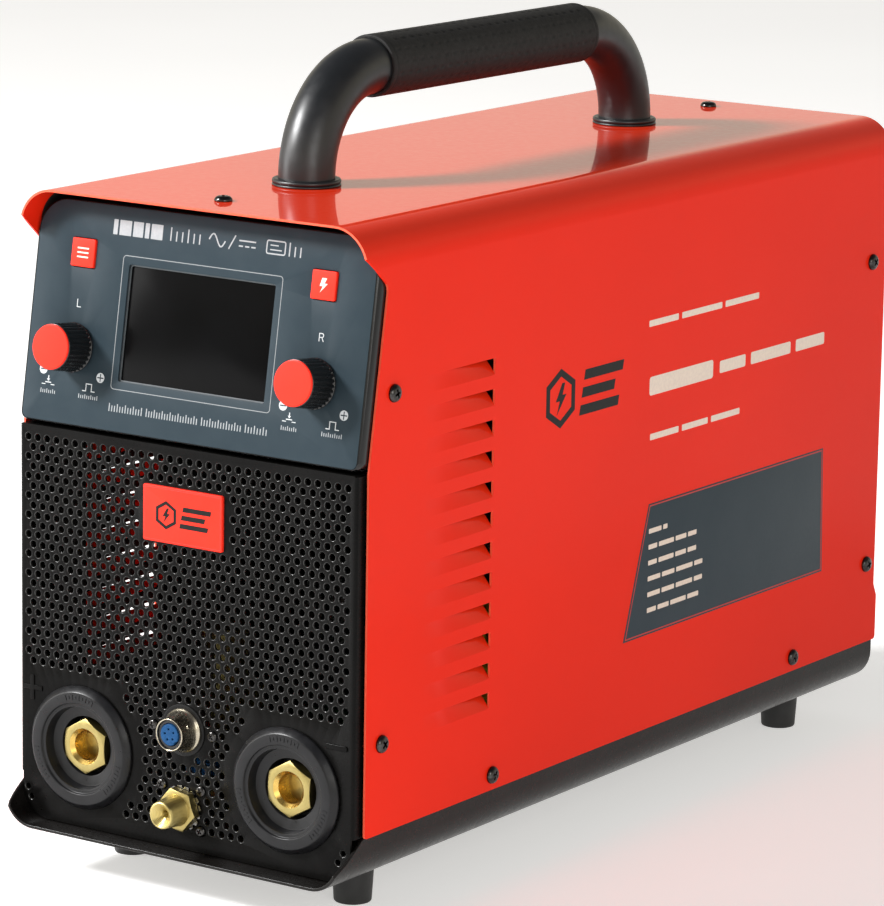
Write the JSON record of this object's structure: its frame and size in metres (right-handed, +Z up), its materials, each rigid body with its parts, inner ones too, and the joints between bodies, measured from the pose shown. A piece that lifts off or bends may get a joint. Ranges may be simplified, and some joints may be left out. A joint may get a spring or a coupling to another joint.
{
  "type": "tig welding machine",
  "caption": "Portable TIG welding inverter: folded steel case with sloping control panel, perforated front, bayonet current sockets, gas outlet, bow handle, rear fan.",
  "frame": {"origin": "on the floor, under the centre of the whole machine's bounding box", "axes": "+Z up, +Y from the control panel to the rear panel, +X to the right as seen by someone facing the control panel"},
  "size_m": [0.19, 0.4824, 0.364],
  "materials": {
    "red_paint": "glossy orange-red powder coat on folded steel",
    "black_paint": "satin black powder coat",
    "overlay_film": "slate grey printed polycarbonate film with a fine texture",
    "display_glass": "glossy black display window",
    "accent_plastic": "satin bright red plastic",
    "black_plastic": "moulded black plastic",
    "black_rubber": "soft black rubber",
    "handle_coat": "satin black coating on steel tube",
    "brass": "machined brass",
    "nickel": "dull nickel plate",
    "screw_black": "black oxide",
    "steel": "turned steel",
    "blue_insert": "blue moulded insert",
    "circuit_board": "green solder mask",
    "heatsink_alloy": "extruded aluminium",
    "winding_tape": "yellow insulating tape over copper and ferrite",
    "capacitor_sleeve": "dark blue sleeve"
  },
  "bodies": {
    "case": {"base_tray": "black_paint", "top_cover": "red_paint", "front_grille": "black_paint", "rear_panel": "black_paint", "badge_plate": "accent_plastic", "socket_housing_left": "black_plastic", "socket_housing_right": "black_plastic", "socket_contact_left": "brass", "socket_contact_right": "brass", "torch_connector_shell": "nickel", "torch_connector_insert": "blue_insert", "gas_outlet": "brass", "control_bezel": "black_paint", "panel_overlay": "overlay_film", "display_module": "display_glass", "control_board": "circuit_board", "encoder_body_left": "nickel", "encoder_body_right": "nickel", "handle_bow": "handle_coat", "handle_grip": "black_rubber", "foot_front_left": "black_rubber", "foot_front_right": "black_rubber", "foot_rear_left": "black_rubber", "foot_rear_right": "black_rubber", "fan_frame": "black_plastic", "fan_guard": "nickel", "switch_body": "black_plastic", "mains_gland": "black_plastic", "gas_inlet": "brass", "main_board": "circuit_board", "heatsink": "heatsink_alloy", "main_transformer": "winding_tape", "capacitor": "capacitor_sleeve", "gas_valve": "brass", "screw_right_panel": "screw_black", "screw_right_grille": "screw_black", "screw_right_base_front": "screw_black", "screw_right_base_rear": "screw_black", "screw_right_rear_low": "screw_black", "screw_right_rear_high": "screw_black", "screw_left_panel": "screw_black", "screw_left_grille": "screw_black", "screw_left_base_front": "screw_black", "screw_left_base_rear": "screw_black", "screw_left_rear_low": "screw_black", "screw_left_rear_high": "screw_black", "screw_top_front": "screw_black", "screw_top_rear": "screw_black"},
    "dial_left": {"encoder_rotor_left": "black_plastic"},
    "dial_right": {"encoder_rotor_right": "black_plastic"},
    "turning_knob_left": {"encoder_shaft_left": "steel", "knob_left": "black_plastic", "knob_cap_left": "accent_plastic"},
    "turning_knob_right": {"encoder_shaft_right": "steel", "knob_right": "black_plastic", "knob_cap_right": "accent_plastic"},
    "menu_key": {"menu_button": "accent_plastic"},
    "arc_key": {"arc_button": "accent_plastic"},
    "fan": {"fan_rotor": "black_plastic"},
    "rocker": {"switch_rocker": "black_plastic"}
  },
  "joints": [
    {"name": "knob_left_turn", "type": "hinge", "parent": "case", "child": "dial_left", "pos_m": [-0.0645, -0.21436, 0.23356], "axis": [0, -0.9873, 0.1587], "continuous": true},
    {"name": "knob_left_push", "type": "slide", "parent": "dial_left", "child": "turning_knob_left", "axis": [0, 0.9873, -0.1587], "range_m": [0, 0.0008], "stiffness_N_per_m": 4000, "springref_m": -0.0004},
    {"name": "knob_right_turn", "type": "hinge", "parent": "case", "child": "dial_right", "pos_m": [0.0645, -0.21436, 0.23356], "axis": [0, -0.9873, 0.1587], "continuous": true},
    {"name": "knob_right_push", "type": "slide", "parent": "dial_right", "child": "turning_knob_right", "axis": [0, 0.9873, -0.1587], "range_m": [0, 0.0008], "stiffness_N_per_m": 4000, "springref_m": -0.0004},
    {"name": "menu_button_press", "type": "slide", "parent": "case", "child": "menu_key", "axis": [0, 0.9873, -0.1587], "range_m": [0, 0.0008], "stiffness_N_per_m": 2500, "springref_m": -0.0004},
    {"name": "arc_button_press", "type": "slide", "parent": "case", "child": "arc_key", "axis": [0, 0.9873, -0.1587], "range_m": [0, 0.0008], "stiffness_N_per_m": 2500, "springref_m": -0.0004},
    {"name": "fan_spin", "type": "hinge", "parent": "case", "child": "fan", "pos_m": [0, 0.20315, 0.165], "axis": [0, 1, 0], "continuous": true},
    {"name": "power_switch", "type": "hinge", "parent": "case", "child": "rocker", "pos_m": [0.045, 0.21645, 0.26], "axis": [-1, 0, 0], "range_deg": [0, 22]}
  ]
}
